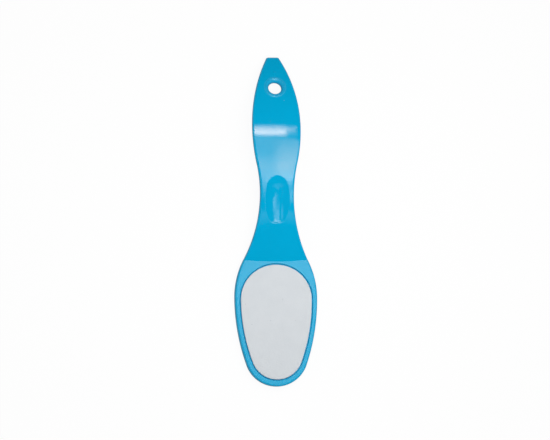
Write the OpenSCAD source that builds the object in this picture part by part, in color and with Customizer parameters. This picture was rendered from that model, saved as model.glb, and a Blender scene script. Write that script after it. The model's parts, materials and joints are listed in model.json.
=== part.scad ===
// Double-sided foot file: one moulded paddle handle, with an abrasive pad bonded into a
// shallow recess on each face of its oval head.
// Millimetres. The file lies face up: +Z is the face with the thumb scoop, +Y runs from the
// head to the hang hole, and the origin is on the table under the middle of the plan.
// Lengths along the handle are measured from the head's round end.

/* [Head] */
// Greatest width of the head
head_w = 62.8; // [50:0.2:78]
// Length of the head's flat face, from its round end to the crease at the neck
head_len = 95.8; // [80:0.2:120]
// Distance from the head's round end to its widest place
oval_len = 67.4; // [56:0.2:80]
// Plan radius of the head's round end
end_r = 24; // [18:0.2:28.4]
// Thickness of the head, from rim to rim
head_t = 8; // [6.5:0.1:11]

/* [Handle] */
// Width of the neck at its waist
waist_w = 25.6; // [21:0.2:34]
// Length from the crease to the waist
neck_len = 49; // [42:0.5:62]
// Greatest width of the grip
grip_w = 36.8; // [31:0.2:46]
// Length from the waist to the widest place of the grip
swell_len = 51; // [40:0.5:60]
// Width of the blunt tip
tip_w = 8.7; // [7.5:0.1:13]
// Length from the widest place of the grip to the tip
tip_len = 55; // [45:0.2:66]
// Thickness of the grip
grip_t = 5.5; // [4.5:0.1:7]
// Plan radius of the tip's two corners
corner_r = 1.6; // [1.4:0.1:3]

/* [Arch] */
// Rise of the front face from the head to the crest of the arch
arch_rise = 15; // [8:0.5:20]
// Length from the crease to the crest
arch_run = 84; // [68:1:100]
// Height of the middle of the handle's faces above their long edges
crown = 0.4; // [0.2:0.05:0.8]
// Distance by which the middle of the crease bows towards the pad
crease_bow = 1.1; // [0.4:0.1:1.6]
// Radius of all the long edges
edge_r = 1.3; // [0.8:0.1:1.5]

/* [Thumb scoop] */
// Length of the scoop
scoop_len = 35.4; // [28:0.2:44]
// Share of the length on the hang hole side of the widest place
scoop_far_share = 0.495; // [0.4:0.005:0.6]
// Width of the scoop
scoop_w = 18.4; // [15:0.2:23]
// Depth of the scoop
scoop_d = 2.1; // [1:0.1:2.6]
// Share of the depth that is gained close to the end by the pad
scoop_end_share = 0.2; // [0:0.01:0.4]
// Length from the crease to the widest place of the scoop
scoop_run = 45.5; // [38:0.1:56]

/* [Hang hole] */
// Radius of the hang hole
hole_r = 5; // [4:0.05:6.5]
// Length from the tip to the middle of the hang hole
hole_run = 24.7; // [18:0.1:28]
// Radius of the rounded lip at each end of the hole
lip_r = 1.8; // [0.5:0.1:2]

/* [Pads] */
// Width of the rim beside the recess
rim_side = 3.3; // [2.8:0.1:5.4]
// Width of the rim at the round end
rim_end = 4.2; // [3.4:0.1:6.4]
// Width of the land between the recess and the crease
rim_top = 2.5; // [1.8:0.1:3.4]
// Distance by which the recess is widest nearer to the round end than the head is
recess_shift = 1.5; // [1:0.1:4]
// Depth of each recess
recess_d = 1.9; // [1.4:0.05:2.4]
// Gap between a pad and the wall of its recess
pad_gap = 1.05; // [0.4:0.05:1.4]
// Thickness of the double-sided tape
tape_t = 0.2; // [0.1:0.05:0.3]
// Thickness of the foam cushion
foam_t = 1.2; // [0.9:0.05:1.5]
// Thickness of the abrasive sheet
sheet_t = 0.8; // [0.6:0.05:1]
// Width of the band along which a sheet's face rolls down to its cut edge
roll_w = 5; // [3:0.5:8]
// Depth of that roll
roll_d = 0.3; // [0.15:0.05:0.45]

/* [Hidden] */

$fn = 96;
overrun = 1;
end_step_a = 9;
first_a = 2;
corner_steps = 3;
edge_steps = 3;
top_cells = 12;
back_cells = 4;
outline_steps = 14;
roll_steps = 3;
lip_steps = 5;
slope_probe = 0.01;
// Share of the swell that is the hollow arc next to the waist
swell_share = 0.46;
// Share of the neck over which the crown grows to its full height
crown_share = 0.8;

// Places along the handle, from the head's round end
wide_y = oval_len;
crease_y = head_len;
waist_y = crease_y + neck_len;
grip_y = waist_y + swell_len;
tip_y = grip_y + tip_len;
crest_y = crease_y + arch_run;
scoop_y = crease_y + scoop_run;
hole_y = tip_y - hole_run;

// Half widths
head_hw = head_w / 2;
waist_hw = waist_w / 2;
grip_hw = grip_w / 2;
tip_hw = tip_w / 2;

// Heights
pad_proud = tape_t + foam_t + sheet_t - recess_d;
back_rim_z = pad_proud;
front_rim_z = back_rim_z + head_t;
crest_z = front_rim_z + arch_rise;

// An arc that is level at one end and leaves it by drop over run has this radius
function arc_r(run, drop) = (run * run + drop * drop) / (2 * drop);
function arc_drop(r, along) = r - sqrt(r * r - along * along);

// Plan arcs: the head's flanks, the shoulders and neck, the swell, and the sides of the tip
flank_r = (pow(head_hw, 2) - pow(end_r, 2) + pow(wide_y - end_r, 2)) / (2 * (head_hw - end_r));
join_a = atan2(flank_r - head_hw, wide_y - end_r);
join_y = end_r * (1 - cos(join_a));
side_r = arc_r(tip_len, grip_hw - tip_hw);
corner_y = tip_y - corner_r;
corner_a = asin((corner_y - grip_y) / (side_r - corner_r));
corner_x = grip_hw - side_r + (side_r - corner_r) * cos(corner_a);

// An S of two tangent arcs, level at both ends, that steps by rise over run
function s_bend(along, run, rise, share) =
    let (both_r = arc_r(run, rise))
    along < share * run
        ? arc_drop(share * both_r, along)
        : rise - arc_drop((1 - share) * both_r, run - along);

shoulder_share = (crease_y - wide_y) / (waist_y - wide_y);

// Half width of the plan at a distance y from the round end
function half_w(y) =
    y < join_y ? sqrt(pow(end_r, 2) - pow(end_r - y, 2))
    : y < wide_y ? head_hw - arc_drop(flank_r, wide_y - y)
    : y < waist_y ? head_hw - s_bend(y - wide_y, waist_y - wide_y, head_hw - waist_hw, shoulder_share)
    : y < grip_y ? waist_hw + s_bend(y - waist_y, swell_len, grip_hw - waist_hw, swell_share)
    : grip_hw - arc_drop(side_r, y - grip_y);

// Outward normal of the plan's right side at y
function side_normal(y) =
    let (slope = (half_w(y + slope_probe) - half_w(y - slope_probe)) / (2 * slope_probe))
    [1, -slope] / sqrt(1 + slope * slope);

// The side point whose inner edge, edge_r further in, lies at y
function outer_y(y, tries = 5) =
    tries == 0 ? y : y + edge_r * side_normal(outer_y(y, tries - 1)).y;

// Front and back of the arch: from the crease to the crest, and from the crest to the tip.
// The tip's lower edge comes down to the table, and tip_sink allows for its rounding.
neck_front_r = arc_r(arch_run, arch_rise);
back_rise = crest_z - grip_t - back_rim_z;
neck_back_r = arc_r(arch_run, back_rise);
tip_run = tip_y - crest_y;
tip_a = 2 * atan((crest_z - grip_t) / tip_run);
tip_sink = edge_r * (1 + tan(tip_a) - 1 / cos(tip_a));
tip_r = arc_r(tip_run, crest_z - grip_t + tip_sink);

function arch(y, neck_r, rise) =
    y < crease_y ? 0
    : y < crest_y ? rise - arc_drop(neck_r, crest_y - y)
    : rise - arc_drop(tip_r, y - crest_y);

// 1 in the middle of the handle and 0 where its faces meet their rounded edges
function middle(x, y) = max(0, 1 - pow(x / (half_w(min(y, corner_y)) - edge_r), 2));

function crown_at(x, y) =
    y < crease_y || y > corner_y ? 0
    : crown * middle(x, y) * min(1, (y - crease_y) / (crown_share * neck_len),
        (corner_y - y) / hole_run);

// The scoop is a parabola across. Along its length it is half a parabola and half a fourth power
// towards the hang hole. Towards the pad it ends bluntly, where a small part follows a high power.
scoop_far = scoop_len * scoop_far_share;
scoop_near = scoop_len - scoop_far;
function scoop_at(x, y) =
    let (
        far = y > scoop_y,
        along = pow((y - scoop_y) / (far ? scoop_far : scoop_near), 2),
        ends = far ? (along + pow(along, 2)) / 2
            : (1 - scoop_end_share) * along + scoop_end_share * pow(along, 24)
    )
    scoop_d * max(0, 1 - pow(x / (scoop_w / 2), 2) - ends);

// The arch is drawn from a straight crease, whose middle is then pulled towards the pad. The
// pull dies away over bow_reach to each side. pull_at is the pull on a point of the straight
// drawing, and bow_at is the pull that has brought a point to where it is now.
bow_reach = neck_len / 4;
function pull_at(x, y) =
    abs(y - crease_y) > bow_reach ? 0
    : crease_bow * middle(x, y) * (1 - abs(y - crease_y) / bow_reach);
function bow_at(x, y) =
    abs(y - crease_y) > 2 * bow_reach ? 0
    : let (b = crease_bow * middle(x, y), from = y - crease_y + b)
        b * max(0, 1 - abs(from) / (bow_reach + sign(from) * b));

function front_z(x, y) =
    front_rim_z + arch(y + bow_at(x, y), neck_front_r, arch_rise) + crown_at(x, y) - scoop_at(x, y);
function back_z(x, y) =
    back_rim_z + arch(y + bow_at(x, y), neck_back_r, back_rise) - crown_at(x, y);

// Stations of the skin: a point on the plan's right side, and the outward normal there.
// They lie closest in the scoop, and one lies on the crease.
function span(from, to, count) = [for (i = [1 : count]) from + (to - from) * i / count];
skin_y = concat(
    span(join_y, wide_y, 8),
    span(wide_y, crease_y, 6),
    span(crease_y, scoop_y - scoop_near, 6),
    span(scoop_y - scoop_near, scoop_y + scoop_far, 20),
    span(scoop_y + scoop_far, grip_y, 6),
    span(grip_y, corner_y - edge_r, 10));
stations = concat(
    [for (a = [first_a : end_step_a : join_a])
        [[end_r * sin(a), end_r - end_r * cos(a)], [sin(a), -cos(a)]]],
    [for (y = skin_y) let (out_y = outer_y(y)) [[half_w(out_y), out_y], side_normal(out_y)]],
    [for (i = [1 : corner_steps]) let (a = corner_a + (90 - corner_a) * i / corner_steps)
        [[corner_x + corner_r * cos(a), corner_y + corner_r * sin(a)], [cos(a), sin(a)]]]);

// A point of the rounded edge at one station, a degrees round from the flat face
function edge_point(at, side, a, front) =
    let (
        x = at[0].x - at[1].x * edge_r * (1 - sin(a)),
        y = at[0].y - at[1].y * edge_r * (1 - sin(a)),
        drop = edge_r * (1 - cos(a))
    )
    [side * x, y, front ? front_z(x, y) - drop : back_z(x, y) + drop];

// A point of the flat face at one station, from -1 at the left edge to 1 at the right
function face_point(at, across, front) =
    let (
        x = across * (at[0].x - at[1].x * edge_r),
        straight_y = at[0].y - at[1].y * edge_r,
        y = straight_y - pull_at(x, straight_y)
    )
    [x, y, front ? front_z(x, y) : back_z(x, y)];

// One closed loop of the skin: back face, right edge, front face, left edge
edge_a = [for (i = [1 : edge_steps]) 90 * i / edge_steps];
function reversed(list) = [for (i = [len(list) - 1 : -1 : 0]) list[i]];
// The same corners in the opposite turn, still beginning with the first
function led_by_first(list) = [for (i = [0 : len(list) - 1]) list[(len(list) - i) % len(list)]];
function loop_at(at) = concat(
    [for (i = [0 : back_cells]) face_point(at, 2 * i / back_cells - 1, false)],
    [for (a = edge_a) edge_point(at, 1, a, false)],
    [for (a = reversed(edge_a)) edge_point(at, 1, a, true)],
    [for (i = [top_cells : -1 : 0]) face_point(at, 2 * i / top_cells - 1, true)],
    [for (a = edge_a) edge_point(at, -1, a, true)],
    [for (a = reversed(edge_a)) edge_point(at, -1, a, false)]);

loop_n = back_cells + top_cells + 2 + 4 * edge_steps;

// The strip that closes an end: it joins the right edge's points to the left edge's, and the
// faces' own end rows complete its first and last panels.
function end_faces(first) =
    let (
        right = [for (i = [0 : 2 * edge_steps + 1]) first + back_cells + i],
        left = concat([first], [for (i = [1 : 2 * edge_steps + 1]) first + loop_n - i])
    )
    concat(
        [concat([left[1]], [for (i = [0 : back_cells]) first + i], [right[1]])],
        [for (i = [1 : 2 * edge_steps - 1]) [left[i], right[i], right[i + 1], left[i + 1]]],
        [concat([left[2 * edge_steps], right[2 * edge_steps]],
            [for (i = [0 : top_cells]) right[2 * edge_steps + 1] + i])]);

module skin() {
    count = len(stations);
    sides = [for (j = [0 : count - 2], k = [0 : loop_n - 1])
        let (a = j * loop_n + k, b = j * loop_n + (k + 1) % loop_n)
        each [[a, b, a + loop_n], [b, b + loop_n, a + loop_n]]];
    head_end = [for (face = end_faces(0)) led_by_first(face)];
    tip_end = end_faces((count - 1) * loop_n);
    polyhedron(points = [for (at = stations) each loop_at(at)], faces = concat(sides, head_end, tip_end));
}

// Plan of a recess: the head's outline brought in by the rim, with a half ellipse at the neck
// end. A pad has the same plan, brought in by a further inset.
module pad_plan(inset) polygon(pad_points(inset));

recess_wide_y = oval_len - recess_shift;
function pad_points(inset) =
    let (
        hw = head_hw - rim_side - inset,
        r = end_r - rim_side - inset,
        low = recess_wide_y - rim_end - inset,
        up = crease_y - rim_top - recess_wide_y - inset,
        big_r = (hw * hw - r * r + pow(low - r, 2)) / (2 * (hw - r)),
        meet_a = atan2(big_r - hw, low - r),
        end_y = recess_wide_y - low + r,
        right = concat(
            [for (i = [0 : outline_steps]) let (a = meet_a * i / outline_steps)
                [r * sin(a), end_y - r * cos(a)]],
            [for (i = [1 : outline_steps]) let (a = (90 - meet_a) * (1 - i / outline_steps))
                [hw - big_r + big_r * cos(a), recess_wide_y - big_r * sin(a)]],
            [for (i = [1 : 2 * outline_steps]) let (a = 45 * i / outline_steps)
                [hw * cos(a), recess_wide_y + up * sin(a)]]),
        left = [for (i = [len(right) - 2 : -1 : 1]) [-right[i].x, right[i].y]]
    )
    concat(right, left);

// Where the hang hole's axis crosses the middle of the handle, and its lean towards the tip
hole_z = (front_z(0, hole_y) + back_z(0, hole_y)) / 2;
hole_lean = asin((hole_y - crest_y) / tip_r);
hole_wall = (front_z(0, hole_y) - back_z(0, hole_y)) * cos(hole_lean);

// What the hang hole takes away: a bore whose ends flare in a quarter round
module hole_cut() {
    translate([0, hole_y, hole_z]) rotate([-hole_lean, 0, 0]) {
        cylinder(r = hole_r, h = hole_wall + 2 * overrun, center = true);
        for (turn = [0, 180]) rotate([turn, 0, 0]) translate([0, 0, hole_wall / 2 - lip_r])
            rotate_extrude() polygon(concat(
                [for (i = [0 : lip_steps]) let (a = 90 * i / lip_steps)
                    [hole_r + lip_r * (1 - cos(a)), lip_r * sin(a)]],
                [[hole_r + lip_r, lip_r + overrun], [0, lip_r + overrun], [0, 0]]));
    }
}

module place() translate([0, -tip_y / 2, 0]) children();

module handle() {
    color([0.0, 0.65, 0.83]) place() difference() {
        skin();
        translate([0, 0, front_rim_z - recess_d]) linear_extrude(recess_d + overrun) pad_plan(0);
        translate([0, 0, back_rim_z - overrun]) linear_extrude(recess_d + overrun) pad_plan(0);
        hole_cut();
    }
}

// A flat layer of the front pad, standing above the floor of the front recess
module front_layer(above, thick) {
    place() translate([0, 0, front_rim_z - recess_d + above]) linear_extrude(thick) pad_plan(pad_gap);
}

module back_layer(above, thick) {
    place() translate([0, 0, back_rim_z + recess_d - above - thick]) linear_extrude(thick) pad_plan(pad_gap);
}

// An abrasive sheet: flat in the middle, and rolling down to its die-cut edge
module rolled_sheet() {
    steps = [for (i = [0 : roll_steps]) i / roll_steps];
    rings = concat(
        [[for (p = pad_points(pad_gap)) [p.x, p.y, 0]]],
        [for (u = steps) [for (p = pad_points(pad_gap + roll_w * u)) [p.x, p.y, sheet_t - roll_d * pow(1 - u, 2)]]]);
    n = len(rings[0]);
    sides = [for (j = [0 : len(rings) - 2], k = [0 : n - 1])
        let (a = j * n + k, b = j * n + (k + 1) % n)
        each [[a, a + n, b], [b, a + n, b + n]]];
    polyhedron(
        points = [for (ring = rings) each ring],
        faces = concat(sides, [[for (k = [0 : n - 1]) k]], [[for (k = [n - 1 : -1 : 0]) (len(rings) - 1) * n + k]]));
}

module front_tape() {
    color([0.93, 0.93, 0.90]) front_layer(0, tape_t);
}

module front_foam() {
    color([0.90, 0.91, 0.92]) front_layer(tape_t, foam_t);
}

module front_fine_sheet() {
    color([0.84, 0.85, 0.87]) place() translate([0, 0, front_rim_z - recess_d + tape_t + foam_t]) rolled_sheet();
}

module back_tape() {
    color([0.93, 0.93, 0.90]) back_layer(0, tape_t);
}

module back_foam() {
    color([0.90, 0.91, 0.92]) back_layer(tape_t, foam_t);
}

module back_coarse_sheet() {
    color([0.62, 0.63, 0.65]) place() translate([0, 0, sheet_t]) mirror([0, 0, 1]) rolled_sheet();
}

handle();
front_tape();
front_foam();
front_fine_sheet();
back_tape();
back_foam();
back_coarse_sheet();
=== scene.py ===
import json
from math import cos, radians, sin

import bmesh
import bpy
import numpy as np
from mathutils import Matrix, Vector


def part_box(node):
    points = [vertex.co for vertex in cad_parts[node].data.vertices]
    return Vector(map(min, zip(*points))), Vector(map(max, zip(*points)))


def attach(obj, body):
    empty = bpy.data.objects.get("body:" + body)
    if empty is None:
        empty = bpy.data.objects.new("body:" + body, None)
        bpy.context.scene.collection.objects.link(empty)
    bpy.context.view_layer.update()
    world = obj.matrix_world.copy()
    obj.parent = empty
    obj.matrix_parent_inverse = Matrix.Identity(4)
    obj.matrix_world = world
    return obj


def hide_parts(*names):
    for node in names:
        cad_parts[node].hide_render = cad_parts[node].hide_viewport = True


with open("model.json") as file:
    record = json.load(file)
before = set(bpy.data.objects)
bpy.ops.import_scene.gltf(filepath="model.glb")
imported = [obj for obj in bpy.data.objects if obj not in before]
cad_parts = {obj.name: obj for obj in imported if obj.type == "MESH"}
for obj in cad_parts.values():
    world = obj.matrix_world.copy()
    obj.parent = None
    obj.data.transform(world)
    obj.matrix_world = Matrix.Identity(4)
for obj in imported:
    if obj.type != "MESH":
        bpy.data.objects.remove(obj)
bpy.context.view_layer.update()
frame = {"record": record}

# Handle: one gloss injection moulding in blue plastic, with the head's frame, the arched neck and
# grip, the thumb scoop and the hang hole. Both pads are bonded into shallow recesses in its head.
# Its sizes are in millimetres, with y from the head's round end to the tip and z from the table.
head_hw = 31.4
head_wide_y = 67.4
head_end_r = 24.0
crease_y = 95.8
waist_hw = 12.8
waist_y = 144.8
grip_hw = 18.4
grip_y = 195.8
swell_share = 0.46
tip_hw = 4.35
tip_y = 250.8
tip_corner_r = 1.6
edge_r = 1.3
back_rim_z = 0.3
front_rim_z = 8.3
grip_t = 5.5
crest_y = 179.8
crest_z = 23.3
crown = 0.4
crown_run = 39.2
crown_tip_run = 24.0
crease_bow = 1.1
bow_reach = 12.25
crease_soft = 0.3
scoop_y = 141.3
scoop_far = 17.52
scoop_near = 17.88
scoop_hw = 9.2
scoop_d = 2.1
scoop_soft_share = 0.07
scoop_end_share = 0.2
gate_x = 0.4
gate_y = 238.1
gate_r = 1.5
gate_h = 0.26


def arc_r(run, drop):
    """Radius of the arc that is level at one end and leaves it by drop over run."""
    return (run * run + drop * drop) / (2 * drop)


def arc_drop(r, along):
    """Distance by which an arc of radius r has left its tangent after going along."""
    return r - np.sqrt(np.maximum(r * r - along * along, 0))


def s_bend(along, run, rise, share):
    """Two tangent arcs, level at both ends, that rise over run and meet at share of the run."""
    both = arc_r(run, rise)
    return np.where(
        along < share * run,
        arc_drop(share * both, along),
        rise - arc_drop((1 - share) * both, run - along),
    )


flank_r = (head_hw**2 - head_end_r**2 + (head_wide_y - head_end_r) ** 2) / (2 * (head_hw - head_end_r))
join_a = np.arctan2(flank_r - head_hw, head_wide_y - head_end_r)
join_y = head_end_r * (1 - np.cos(join_a))
side_r = arc_r(tip_y - grip_y, grip_hw - tip_hw)
corner_y = tip_y - tip_corner_r
corner_a = np.arcsin((corner_y - grip_y) / (side_r - tip_corner_r))
corner_x = grip_hw - side_r + (side_r - tip_corner_r) * np.cos(corner_a)
shoulder_share = (crease_y - head_wide_y) / (waist_y - head_wide_y)


def half_w(y):
    """Half width of the plan at y: a chain of tangent arcs, from the round end to the tip."""
    y = np.asarray(y, float)
    return np.select(
        [y < join_y, y < head_wide_y, y < waist_y, y < grip_y],
        [
            np.sqrt(np.maximum(head_end_r**2 - (head_end_r - y) ** 2, 0)),
            head_hw - arc_drop(flank_r, head_wide_y - y),
            head_hw - s_bend(y - head_wide_y, waist_y - head_wide_y, head_hw - waist_hw, shoulder_share),
            waist_hw + s_bend(y - waist_y, grip_y - waist_y, grip_hw - waist_hw, swell_share),
        ],
        grip_hw - arc_drop(side_r, y - grip_y),
    )


def side_normal(y):
    """Unit normal of the plan's right side at y, from the slope of its half width."""
    probe = 0.01
    slope = (half_w(y + probe) - half_w(y - probe)) / (2 * probe)
    size = np.sqrt(1 + slope * slope)
    return np.stack([1 / size, -slope / size], -1)


def outer_y(y):
    """The y of the side point whose inner edge, one edge radius inwards, lies at y."""
    out = y
    for _ in range(12):
        out = y + edge_r * side_normal(out)[..., 1]
    return out


back_rise = crest_z - grip_t - back_rim_z
front_rise = crest_z - front_rim_z
neck_front_r = arc_r(crest_y - crease_y, front_rise)
neck_back_r = arc_r(crest_y - crease_y, back_rise)
tip_a = 2 * np.arctan((crest_z - grip_t) / (tip_y - crest_y))
tip_sink = edge_r * (1 + np.tan(tip_a) - 1 / np.cos(tip_a))
tip_r = arc_r(tip_y - crest_y, crest_z - grip_t + tip_sink)


def arch(y, neck_r, rise):
    """Side shape: flat to the crease, a short parabola that softens it, and an arc up to the
    crest and another down to the tip."""
    slope = (crest_y - crease_y) / np.sqrt(neck_r**2 - (crest_y - crease_y) ** 2)
    d = y - crease_y
    soft = slope * (d + crease_soft) ** 2 / (4 * crease_soft)
    neck = rise - arc_drop(neck_r, crest_y - y)
    return np.select(
        [d < -crease_soft, d < crease_soft, y < crest_y],
        [0 * y, soft + (neck - slope * d) * (d > 0), neck],
        rise - arc_drop(tip_r, y - crest_y),
    )


def middle(x, y):
    """1 on the middle line, falling as a parabola to 0 at the rounded edges."""
    return np.maximum(0, 1 - (x / np.maximum(half_w(np.minimum(y, corner_y)) - edge_r, 0.1)) ** 2)


def crown_at(x, y):
    """Crown of both faces: a parabola across, which fades in along the neck and out at the tip."""
    fade = np.minimum(1, np.minimum((y - crease_y) / crown_run, (corner_y - y) / crown_tip_run))
    return crown * middle(x, y) * np.maximum(fade, 0)


def scoop_at(x, y):
    """Depth of the thumb scoop: a parabola across. Along it is half a parabola and half a fourth
    power towards the hole. Towards the pad it ends bluntly, where a share of the depth follows
    a high power. The rim is softened by a parabola."""
    along = ((y - scoop_y) / np.where(y > scoop_y, scoop_far, scoop_near)) ** 2
    blunt = (1 - scoop_end_share) * along + scoop_end_share * along ** 24
    q = 1 - (x / scoop_hw) ** 2 - np.where(y > scoop_y, (along + along**2) / 2, blunt)
    soft = (q + scoop_soft_share) ** 2 / (4 * scoop_soft_share)
    return scoop_d * np.select([q > scoop_soft_share, q > -scoop_soft_share], [q, soft], 0)


def pull_at(x, y):
    """Pull of the straight crease's middle towards the pad, dying away evenly on both sides."""
    return crease_bow * middle(x, y) * np.maximum(0, 1 - np.abs(y - crease_y) / bow_reach)


def bow_at(x, y):
    """The pull that has brought a point to where it is now, which is pull_at solved backwards."""
    b = np.where(np.abs(y - crease_y) > 2 * bow_reach, 0, crease_bow * middle(x, y))
    rel = y - crease_y + b
    return b * np.maximum(0, 1 - np.abs(rel) / (bow_reach + np.sign(rel) * b))


def gate_at(x, y):
    """Height of the moulding's gate mark near the tip: a low round bump, smooth at its rim."""
    q = np.clip(1 - ((x - gate_x) ** 2 + (y - gate_y) ** 2) / gate_r**2, 0, 1)
    return gate_h * q * q * (3 - 2 * q)


def front_z(x, y):
    """Front face: rim height, arch and crown, less the scoop, plus the gate mark."""
    lift = arch(y + bow_at(x, y), neck_front_r, front_rise)
    return front_rim_z + lift + crown_at(x, y) - scoop_at(x, y) + gate_at(x, y)


def back_z(x, y):
    """Back face: rim height and arch, less the crown."""
    return back_rim_z + arch(y + bow_at(x, y), neck_back_r, back_rise) - crown_at(x, y)


recess_y = 65.9
recess_d = 1.9
rim_side = 3.3
rim_end = 4.2
rim_top = 2.5
recess_lip = 0.25


def recess_plan(inset):
    """Right half of the recess's plan: a round end, a flank arc and a half ellipse at the neck,
    all brought in by inset from the rim's own width."""
    hw = head_hw - rim_side - inset
    r = head_end_r - rim_side - inset
    low = recess_y - rim_end - inset
    up = crease_y - rim_top - recess_y - inset
    flank = (hw * hw - r * r + (low - r) ** 2) / (2 * (hw - r))
    meet = np.arctan2(flank - hw, low - r)
    a = np.linspace(0, meet, 900)
    b = np.linspace(np.pi / 2 - meet, 0, 900)
    c = np.linspace(0, np.pi / 2, 900)
    x = np.concatenate([r * np.sin(a), hw - flank + flank * np.cos(b), hw * np.cos(c)])
    y = np.concatenate([r - low - r * np.cos(a), -flank * np.sin(b), up * np.sin(c)])
    return x, y


def recess_loop(inset, angle):
    """Points of the recess's plan at polar angles about its middle, 0 towards the round end."""
    x, y = recess_plan(inset)
    ring = np.arctan2(x, -y)
    order = np.argsort(ring)
    reach = np.interp(np.abs(angle), ring[order], np.hypot(x, y)[order])
    return np.stack([reach * np.sin(angle), recess_y - reach * np.cos(angle)], -1)


def shrunk(ring, share):
    """A ring of points drawn in towards the recess's middle, to share of its size."""
    return (ring - [0, recess_y, 0]) * [share, share, 1] + [0, recess_y, 0]


def patch(store, rows, closed=False, skip=None):
    """Adds a grid of points to a store of patches, with a quad for each cell that isn't skipped.
    A closed patch's rows join end to end."""
    rows = np.asarray(rows, float)
    n, m = rows.shape[:2]
    base = sum(len(points) for points in store["points"])
    store["points"].append(rows.reshape(-1, 3))
    j, i = np.meshgrid(np.arange(n - 1), np.arange(m if closed else m - 1), indexing="ij")
    k = (i + 1) % m
    quads = np.stack([j * m + i, j * m + k, (j + 1) * m + k, (j + 1) * m + i], -1)
    if skip is not None:
        quads = quads[~skip]
    store["faces"] += (quads.reshape(-1, 4) + base).tolist()


def cap(store, first, count, centre):
    """Closes a ring of count points, from index first, with a fan of triangles to its centre."""
    at = sum(len(points) for points in store["points"])
    store["points"].append(np.array([centre], float))
    ring = first + np.arange(count)
    store["faces"] += np.stack([ring, np.roll(ring, -1), np.full(count, at)], -1).tolist()


def build(name, store):
    """Welds a store's patches into one smooth object in metres, with its faces outwards."""
    weld = 2e-6
    sliver = 1e-7
    points = (np.concatenate(store["points"]) - [0, tip_y / 2, 0]) * 0.001
    mesh = bpy.data.meshes.new(name)
    mesh.from_pydata(points.tolist(), [], store["faces"])
    bm = bmesh.new()
    bm.from_mesh(mesh)
    bmesh.ops.remove_doubles(bm, verts=bm.verts, dist=weld)
    bmesh.ops.dissolve_degenerate(bm, edges=bm.edges, dist=sliver)
    bmesh.ops.recalc_face_normals(bm, faces=bm.faces)
    bm.to_mesh(mesh)
    bm.free()
    mesh.shade_smooth()
    piece = bpy.data.objects.new(name, mesh)
    bpy.context.scene.collection.objects.link(piece)
    return piece


# The skin's stations run up the right side, across the blunt tip and down the left side. Past the
# crease a few close rows, in multiples of its softness, come before the even ones.
columns = 64
end_stations = 64
side_stations = 110
even_rows = 350
corner_stations = 9
crease_rows = (0.4, 1, 1.8, 2.8, 4, 5.3)
first_even_row = 2.05
last_row_gap = 0.6
end_as = np.linspace(0, join_a, end_stations)
side_ys = np.linspace(join_y, float(outer_y(np.array(crease_y))), side_stations)[1:]
row_ys = crease_y + np.concatenate([
    crease_soft * np.array(crease_rows),
    np.linspace(first_even_row, corner_y - crease_y - last_row_gap, even_rows),
])
row_outer = outer_y(row_ys)
corner_as = np.linspace(corner_a, np.pi / 2, corner_stations)
corner_n = np.stack([np.cos(corner_as), np.sin(corner_as)], -1)
right_p = np.concatenate([
    np.stack([head_end_r * np.sin(end_as), head_end_r - head_end_r * np.cos(end_as)], -1),
    np.stack([half_w(side_ys), side_ys], -1),
    np.stack([half_w(row_outer), row_outer], -1),
    [corner_x, corner_y] + tip_corner_r * corner_n,
])
right_n = np.concatenate([
    np.stack([np.sin(end_as), -np.cos(end_as)], -1),
    side_normal(side_ys),
    side_normal(row_outer),
    corner_n,
])
crease_i = len(end_as) + len(side_ys) - 1
across = np.linspace(1, -1, columns + 1)
to_left = np.array([-1, 1])
tip_p = np.stack([corner_x * across[1:-1], np.full(columns - 1, tip_y)], -1)
tip_n = np.tile([0.0, 1.0], (columns - 1, 1))
loop_p = np.concatenate([right_p, tip_p, right_p[:0:-1] * to_left])
loop_n = np.concatenate([right_n, tip_n, right_n[:0:-1] * to_left])

# The edge is a strip round the whole plan: two quarter rounds and the wall between them, with a
# little draft and the fine raised line where the mould's halves met.
edge_stations = 9
edge_as = np.linspace(0, np.pi / 2, edge_stations)
wall_shares = (0.2, 0.44, 0.475, 0.5, 0.525, 0.56, 0.8)
wall_draft = (0.016, 0.035, 0.04, 0.1, 0.04, 0.035, 0.016)
handle_store = {"points": [], "faces": []}
edge_rows = []
for a in edge_as:
    q = loop_p - loop_n * edge_r * (1 - np.sin(a))
    edge_rows.append(np.column_stack([q, front_z(q[:, 0], q[:, 1]) - edge_r * (1 - np.cos(a))]))
wall_top = edge_rows[-1][:, 2]
wall_low = back_z(loop_p[:, 0], loop_p[:, 1]) + edge_r
for share, out in zip(wall_shares, wall_draft):
    edge_rows.append(np.column_stack([loop_p + loop_n * out, wall_top + (wall_low - wall_top) * share]))
for a in edge_as[::-1]:
    q = loop_p - loop_n * edge_r * (1 - np.sin(a))
    edge_rows.append(np.column_stack([q, back_z(q[:, 0], q[:, 1]) + edge_r * (1 - np.cos(a))]))
patch(handle_store, edge_rows, closed=True)

# The hang hole's axis leans with the arch. Its ends are rounded over, and its bore is straight.
hang_hole = next(m for m in frame["record"]["mounts"] if m["name"] == "hang_hole")
hole_r = hang_hole["dims"]["r_mm"]
hole_lip_r = 2.2
bead_r = 7.4
bead_hw = 1.0
bead_h = 0.22
hole_axis = np.array(hang_hole["axis"])
hole_centre = np.array(hang_hole["pos_m"]) * 1000 + [0, tip_y / 2, 0]
hole_up = np.array([0, hole_axis[2], -hole_axis[1]])
hole_y = hole_centre[1]
hole_window = 9.8
side_columns = 8


def hole_point(u, v, w):
    """A point u across, v up and w along the axis from the middle of the hang hole."""
    return hole_centre + np.outer(u, [1, 0, 0]) + np.outer(v, hole_up) + np.outer(w, hole_axis)


def on_face(u, v, face_z, out):
    """Distance along the hole's axis at which a face is met, by stepping up to it."""
    w = np.full(len(u), out * grip_t / 2)
    for _ in range(30):
        at = hole_point(u, v, w)
        w = w - (at[:, 2] - face_z(at[:, 0], at[:, 1])) * hole_axis[2]
    return w


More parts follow.
